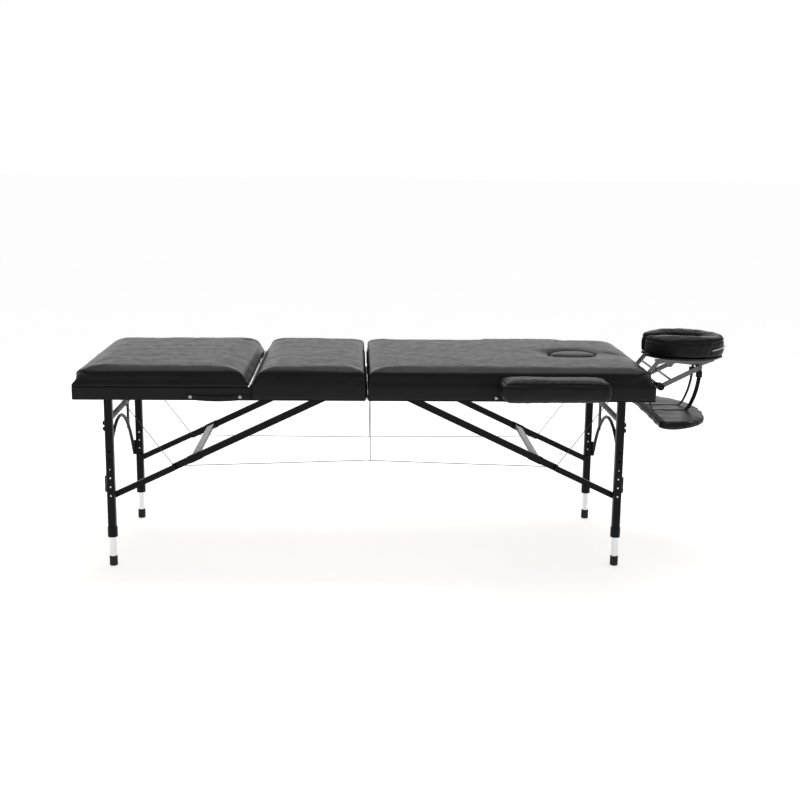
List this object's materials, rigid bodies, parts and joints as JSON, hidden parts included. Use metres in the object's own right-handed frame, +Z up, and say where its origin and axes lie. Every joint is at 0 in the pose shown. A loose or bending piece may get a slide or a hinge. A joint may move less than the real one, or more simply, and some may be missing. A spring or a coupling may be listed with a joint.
{
  "type": "portable massage table",
  "caption": "Folding massage table with black padded top, lifting backrest, armrests, face rest, hanging arm shelf and cable-braced legs that extend.",
  "frame": {"origin": "middle of the whole table's bounding box, on the floor", "axes": "+X to the head end (face rest), +Y away from the side with the carry handles, +Z up"},
  "size_m": [2.178, 0.94, 0.752],
  "materials": {
    "black_upholstery": "satin",
    "black_metal": "satin",
    "black_plastic": "matte",
    "plywood": "matte",
    "bright_aluminium": "satin",
    "grey_aluminium": "satin",
    "zinc_steel": "satin",
    "black_rubber": "matte",
    "black_webbing": "matte"
  },
  "bodies": {
    "foot_half": {"foot_frame": "black_metal", "mid_deck": "plywood", "mid_cushion": "black_upholstery", "foot_handle": "black_webbing", "centre_hinge_foot_leaf": "zinc_steel", "backrest_hinge_fixed_leaf": "zinc_steel", "foot_cable_near": "zinc_steel", "foot_cable_far": "zinc_steel"},
    "backrest": {"backrest_board": "plywood", "backrest_cushion": "black_upholstery", "backrest_hinge_moving_leaf": "zinc_steel"},
    "backrest_prop": {"backrest_prop": "zinc_steel"},
    "centre_pins": {"centre_hinge_pin": "zinc_steel"},
    "head_half": {"head_frame": "black_metal", "head_deck": "plywood", "head_cushion": "black_upholstery", "head_handle": "black_webbing", "centre_hinge_head_leaf": "zinc_steel", "head_cables": "zinc_steel"},
    "face_plug": {"face_hole_plug": "black_upholstery"},
    "near_armrest": {"near_armrest_frame": "black_metal", "near_armrest_pad": "black_upholstery"},
    "far_armrest": {"far_armrest_frame": "black_metal", "far_armrest_pad": "black_upholstery"},
    "face_rest_base": {"face_rest_base": "black_metal"},
    "face_rest_arms": {"face_rest_arms": "grey_aluminium"},
    "face_rest_links": {"face_rest_links": "grey_aluminium"},
    "face_rest_platform": {"face_rest_bracket": "grey_aluminium", "face_rest_platform": "black_plastic", "face_rest_cushion": "black_upholstery"},
    "arm_shelf": {"arm_shelf_panel": "black_upholstery", "arm_shelf_straps": "black_webbing"},
    "foot_legs": {"foot_leg_near": "black_metal", "foot_leg_far": "black_metal", "foot_leg_brace": "black_metal"},
    "foot_upper_struts": {"foot_upper_strut_near": "black_metal", "foot_upper_strut_far": "black_metal", "foot_crossbar": "grey_aluminium"},
    "foot_lower_struts": {"foot_lower_strut_near": "black_metal", "foot_lower_strut_far": "black_metal"},
    "foot_near_extension": {"foot_inner_tube_near": "bright_aluminium", "foot_rubber_foot_near": "black_rubber"},
    "foot_near_button": {"foot_lock_button_near": "zinc_steel"},
    "foot_far_extension": {"foot_inner_tube_far": "bright_aluminium", "foot_rubber_foot_far": "black_rubber"},
    "foot_far_button": {"foot_lock_button_far": "zinc_steel"},
    "head_legs": {"head_leg_near": "black_metal", "head_leg_far": "black_metal", "head_leg_brace": "black_metal"},
    "head_upper_struts": {"head_upper_strut_near": "black_metal", "head_upper_strut_far": "black_metal", "head_crossbar": "grey_aluminium"},
    "head_lower_struts": {"head_lower_strut_near": "black_metal", "head_lower_strut_far": "black_metal"},
    "head_near_extension": {"head_inner_tube_near": "bright_aluminium", "head_rubber_foot_near": "black_rubber"},
    "head_near_button": {"head_lock_button_near": "zinc_steel"},
    "head_far_extension": {"head_inner_tube_far": "bright_aluminium", "head_rubber_foot_far": "black_rubber"},
    "head_far_button": {"head_lock_button_far": "zinc_steel"}
  },
  "joints": [
    {"name": "centre_fold_a", "type": "hinge", "parent": "centre_pins", "child": "foot_half", "pos_m": [-0.156, 0, 0.5705], "axis": [0, -1, 0], "range_deg": [0, 90], "deforming": ["foot_cable_near", "foot_cable_far", "head_cables"]},
    {"name": "centre_fold_b", "type": "hinge", "parent": "centre_pins", "child": "head_half", "pos_m": [-0.156, 0, 0.5705], "axis": [0, 1, 0], "range_deg": [0, 90]},
    {"name": "backrest_tilt", "type": "hinge", "parent": "foot_half", "child": "backrest", "pos_m": [-0.526, 0, 0.618], "axis": [0, 1, 0], "range_deg": [0, 50]},
    {"name": "prop_swing", "type": "hinge", "parent": "backrest", "child": "backrest_prop", "pos_m": [-0.726, 0, 0.6185], "axis": [0, -1, 0], "range_deg": [0, 91.25]},
    {"name": "foot_leg_fold", "type": "hinge", "parent": "foot_half", "child": "foot_legs", "pos_m": [-0.996, 0, 0.597], "axis": [0, -1, 0], "range_deg": [0, 90]},
    {"name": "foot_upper_strut_fold", "type": "hinge", "parent": "foot_half", "child": "foot_upper_struts", "pos_m": [-0.203, 0, 0.605], "axis": [0, 1, 0], "range_deg": [0, 25.19]},
    {"name": "foot_lower_strut_fold", "type": "hinge", "parent": "foot_legs", "child": "foot_lower_struts", "pos_m": [-0.99, 0, 0.231], "axis": [0, -1, 0], "range_deg": [0, 64.97]},
    {"name": "foot_near_leg_height", "type": "slide", "parent": "foot_legs", "child": "foot_near_extension", "axis": [0, 0, -1], "range_m": [-0.06, 0.09], "deforming": ["foot_lock_button_near"]},
    {"name": "foot_near_button_press", "type": "slide", "parent": "foot_near_extension", "child": "foot_near_button", "axis": [0, 1, 0], "range_m": [0, 0.0045], "stiffness_N_per_m": 400},
    {"name": "foot_far_leg_height", "type": "slide", "parent": "foot_legs", "child": "foot_far_extension", "axis": [0, 0, -1], "range_m": [-0.06, 0.09], "deforming": ["foot_lock_button_far"]},
    {"name": "foot_far_button_press", "type": "slide", "parent": "foot_far_extension", "child": "foot_far_button", "axis": [0, -1, 0], "range_m": [0, 0.0045], "stiffness_N_per_m": 400},
    {"name": "head_leg_fold", "type": "hinge", "parent": "head_half", "child": "head_legs", "pos_m": [0.684, 0, 0.597], "axis": [0, 1, 0], "range_deg": [0, 90]},
    {"name": "head_upper_strut_fold", "type": "hinge", "parent": "head_half", "child": "head_upper_struts", "pos_m": [-0.109, 0, 0.605], "axis": [0, -1, 0], "range_deg": [0, 25.19]},
    {"name": "head_lower_strut_fold", "type": "hinge", "parent": "head_legs", "child": "head_lower_struts", "pos_m": [0.678, 0, 0.231], "axis": [0, 1, 0], "range_deg": [0, 64.97]},
    {"name": "head_near_leg_height", "type": "slide", "parent": "head_legs", "child": "head_near_extension", "axis": [0, 0, -1], "range_m": [-0.06, 0.09], "deforming": ["head_lock_button_near"]},
    {"name": "head_near_button_press", "type": "slide", "parent": "head_near_extension", "child": "head_near_button", "axis": [0, 1, 0], "range_m": [0, 0.0045], "stiffness_N_per_m": 400},
    {"name": "head_far_leg_height", "type": "slide", "parent": "head_legs", "child": "head_far_extension", "axis": [0, 0, -1], "range_m": [-0.06, 0.09], "deforming": ["head_lock_button_far"]},
    {"name": "head_far_button_press", "type": "slide", "parent": "head_far_extension", "child": "head_far_button", "axis": [0, -1, 0], "range_m": [0, 0.0045], "stiffness_N_per_m": 400},
    {"name": "face_plug_lift", "type": "slide", "parent": "head_half", "child": "face_plug", "axis": [0, 0, 1], "range_m": [0, 0.08]},
    {"name": "near_armrest_slide", "type": "slide", "parent": "head_half", "child": "near_armrest", "axis": [0, -1, 0], "range_m": [0, 0.045]},
    {"name": "far_armrest_slide", "type": "slide", "parent": "head_half", "child": "far_armrest", "axis": [0, 1, 0], "range_m": [0, 0.045]},
    {"name": "face_rest_slide", "type": "slide", "parent": "head_half", "child": "face_rest_base", "axis": [1, 0, 0], "range_m": [0, 0.1]},
    {"name": "face_rest_height", "type": "hinge", "parent": "face_rest_base", "child": "face_rest_arms", "pos_m": [0.844, 0, 0.58], "axis": [0, -1, 0], "range_deg": [-8, 10]},
    {"name": "face_rest_link_swing", "type": "hinge", "parent": "face_rest_base", "child": "face_rest_links", "pos_m": [0.801, 0, 0.617], "axis": [0, -1, 0], "range_deg": [-13.4, 16.8]},
    {"name": "face_rest_tilt", "type": "hinge", "parent": "face_rest_arms", "child": "face_rest_platform", "pos_m": [0.9765, 0, 0.6464], "axis": [0, -1, 0], "range_deg": [-4.9, 3.9]},
    {"name": "arm_shelf_lift", "type": "hinge", "parent": "head_half", "child": "arm_shelf", "pos_m": [0.782, 0, 0.56], "axis": [0, -1, 0], "range_deg": [0, 15], "deforming": ["arm_shelf_straps"]}
  ],
  "couplings": [
    {"joint": "prop_swing", "follows": "backrest_tilt", "ratio": 1.825},
    {"joint": "foot_leg_fold", "follows": "centre_fold_a", "ratio": 1},
    {"joint": "foot_upper_strut_fold", "follows": "centre_fold_a", "ratio": 0.2799},
    {"joint": "foot_lower_strut_fold", "follows": "centre_fold_a", "ratio": 0.7219},
    {"joint": "head_leg_fold", "follows": "centre_fold_a", "ratio": 1},
    {"joint": "head_upper_strut_fold", "follows": "centre_fold_a", "ratio": 0.2799},
    {"joint": "head_lower_strut_fold", "follows": "centre_fold_a", "ratio": 0.7219},
    {"joint": "face_rest_link_swing", "follows": "face_rest_height", "ratio": 1.6683},
    {"joint": "face_rest_tilt", "follows": "face_rest_height", "ratio": -0.4807}
  ]
}
